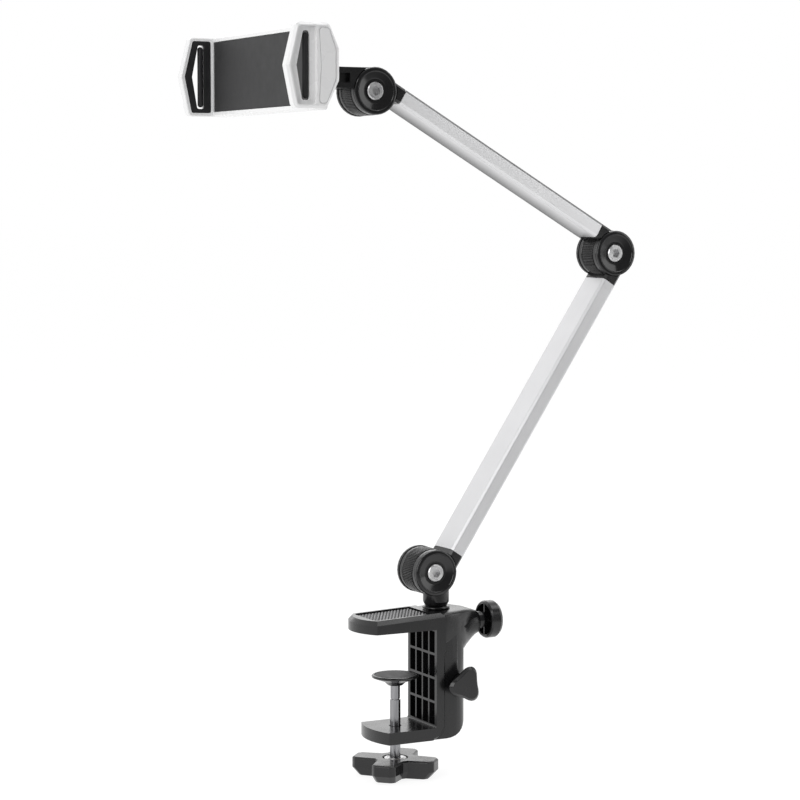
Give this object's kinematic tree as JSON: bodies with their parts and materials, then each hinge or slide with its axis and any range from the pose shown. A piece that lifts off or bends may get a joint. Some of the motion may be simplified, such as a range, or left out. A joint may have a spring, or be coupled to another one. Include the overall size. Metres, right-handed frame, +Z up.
{
  "type": "clamp-on phone stand",
  "caption": "Desk clamp with screw handle, swivel post and folding aluminium arms on bolted drum joints, ending in a tilting, turning sprung phone cradle.",
  "frame": {"origin": "on the clamp screw's axis, where the pad under the upper jaw meets the desk top", "axes": "+Z up; +X from the jaw tips to the spine of the clamp; +Y along the joint bolts, from their heads to the rear knobs"},
  "size_m": [0.3278, 0.189, 0.5405],
  "materials": {
    "black_plastic": "fine satin moulding",
    "white_plastic": "glossy moulding",
    "aluminium": "satin anodised extrusion",
    "steel": "bright zinc-plated",
    "brass": "plain turned",
    "rubber": "matte",
    "grey_rubber": "matte with fine diagonal stripes",
    "silicone": "matte moulded"
  },
  "bodies": {
    "clamp": {"clamp_body": "black_plastic", "jaw_top_pad": "grey_rubber", "desk_pad": "rubber", "post_sleeve": "black_plastic", "screw_insert": "brass"},
    "pressure_pad": {"pressure_pad": "black_plastic", "pressure_pad_face": "grey_rubber"},
    "clamp_screw": {"clamp_screw": "steel", "screw_handle": "black_plastic", "handle_collar": "steel"},
    "post_lock": {"lock_screw": "steel", "lock_knob": "black_plastic"},
    "near_side_knob": {"cross_bolt": "steel", "side_knob_near": "black_plastic"},
    "far_side_knob": {"side_knob_far": "black_plastic"},
    "post": {"swivel_post": "black_plastic"},
    "lower_arm": {"lower_arm_base_fork": "black_plastic", "lower_arm_tube": "aluminium", "lower_arm_elbow_fork": "black_plastic", "base_joint_cover": "black_plastic", "base_joint_bolt": "steel", "base_joint_washer_near": "steel", "base_joint_washer_far": "rubber", "elbow_joint_cover": "black_plastic", "elbow_joint_bolt": "steel", "elbow_joint_washer_near": "steel", "elbow_joint_washer_far": "rubber"},
    "base_knob": {"base_joint_knob": "black_plastic"},
    "elbow_knob": {"elbow_joint_knob": "black_plastic"},
    "upper_arm": {"upper_arm_elbow_tongue": "black_plastic", "upper_arm_tube": "aluminium", "upper_arm_head_fork": "black_plastic", "head_joint_cover": "black_plastic", "head_joint_bolt": "steel", "head_joint_washer_near": "steel", "head_joint_washer_far": "rubber"},
    "head_knob": {"head_joint_knob": "black_plastic"},
    "tilt_bracket": {"tilt_bracket": "black_plastic"},
    "spin_ring": {"spin_lock_ring": "black_plastic"},
    "cradle": {"tray_frame": "white_plastic", "tray_pad": "silicone", "tray_back_cover": "white_plastic", "pinion_pin": "steel", "jaw_near_spring": "steel", "jaw_far_spring": "steel"},
    "near_jaw": {"jaw_near_shell": "white_plastic", "jaw_near_grip": "rubber", "jaw_near_rack": "black_plastic"},
    "far_jaw": {"jaw_far_shell": "white_plastic", "jaw_far_grip": "rubber", "jaw_far_rack": "black_plastic"},
    "pinion": {"pinion": "white_plastic"}
  },
  "joints": [
    {"name": "screw_lift", "type": "slide", "parent": "clamp", "child": "pressure_pad", "axis": [0, 0, 1], "range_m": [-0.029, 0.0135]},
    {"name": "screw_turn", "type": "hinge", "parent": "pressure_pad", "child": "clamp_screw", "pos_m": [0, 0, -0.06], "axis": [0, 0, 1], "range_deg": [-8353, 3889]},
    {"name": "post_lock_turn", "type": "hinge", "parent": "clamp", "child": "post_lock", "pos_m": [0.068, 0, 0.001], "axis": [1, 0, 0], "range_deg": [-180, 180]},
    {"name": "near_knob_turn", "type": "hinge", "parent": "clamp", "child": "near_side_knob", "pos_m": [0.043, -0.028, -0.0406], "axis": [0, 1, 0], "range_deg": [-180, 180]},
    {"name": "far_knob_turn", "type": "hinge", "parent": "clamp", "child": "far_side_knob", "pos_m": [0.043, 0.028, -0.0406], "axis": [0, 1, 0], "range_deg": [-180, 180]},
    {"name": "post_pan", "type": "hinge", "parent": "clamp", "child": "post", "pos_m": [0.034, 0, 0.02], "axis": [0, 0, 1], "range_deg": [-180, 180]},
    {"name": "base_tilt", "type": "hinge", "parent": "post", "child": "lower_arm", "pos_m": [0.0266, 0, 0.041], "axis": [0, -1, 0], "range_deg": [-28, 60]},
    {"name": "base_knob_turn", "type": "hinge", "parent": "lower_arm", "child": "base_knob", "pos_m": [0.0266, 0.014, 0.041], "axis": [0, 1, 0], "range_deg": [-180, 180]},
    {"name": "elbow_tilt", "type": "hinge", "parent": "lower_arm", "child": "upper_arm", "pos_m": [0.18031, 0, 0.27324], "axis": [0, 1, 0], "range_deg": [-60, 90]},
    {"name": "elbow_knob_turn", "type": "hinge", "parent": "lower_arm", "child": "elbow_knob", "pos_m": [0.18031, 0.014, 0.27324], "axis": [0, 1, 0], "range_deg": [-180, 180]},
    {"name": "head_tilt", "type": "hinge", "parent": "upper_arm", "child": "tilt_bracket", "pos_m": [-0.02277, 0, 0.39049], "axis": [0, -1, 0], "range_deg": [-60, 75]},
    {"name": "head_knob_turn", "type": "hinge", "parent": "upper_arm", "child": "head_knob", "pos_m": [-0.02277, 0.014, 0.39049], "axis": [0, 1, 0], "range_deg": [-180, 180]},
    {"name": "cradle_spin", "type": "hinge", "parent": "tilt_bracket", "child": "cradle", "pos_m": [-0.08027, 0, 0.39949], "axis": [1, 0, 0], "range_deg": [-90, 90]},
    {"name": "spin_ring_turn", "type": "hinge", "parent": "cradle", "child": "spin_ring", "pos_m": [-0.08027, 0, 0.39949], "axis": [1, 0, 0], "range_deg": [-180, 180]},
    {"name": "near_jaw_slide", "type": "slide", "parent": "cradle", "child": "near_jaw", "axis": [0, -1, 0], "range_m": [0, 0.025], "stiffness_N_per_m": 300, "springref_m": -0.02},
    {"name": "far_jaw_slide", "type": "slide", "parent": "cradle", "child": "far_jaw", "axis": [0, 1, 0], "range_m": [0, 0.025]},
    {"name": "pinion_turn", "type": "hinge", "parent": "cradle", "child": "pinion", "pos_m": [-0.09927, 0, 0.40249], "axis": [1, 0, 0], "range_deg": [0, 239]}
  ],
  "couplings": [
    {"joint": "screw_turn", "follows": "screw_lift", "rad_per_m": 5026.5},
    {"joint": "far_jaw_slide", "follows": "near_jaw_slide", "ratio": 1},
    {"joint": "pinion_turn", "follows": "near_jaw_slide", "rad_per_m": 166.67}
  ]
}
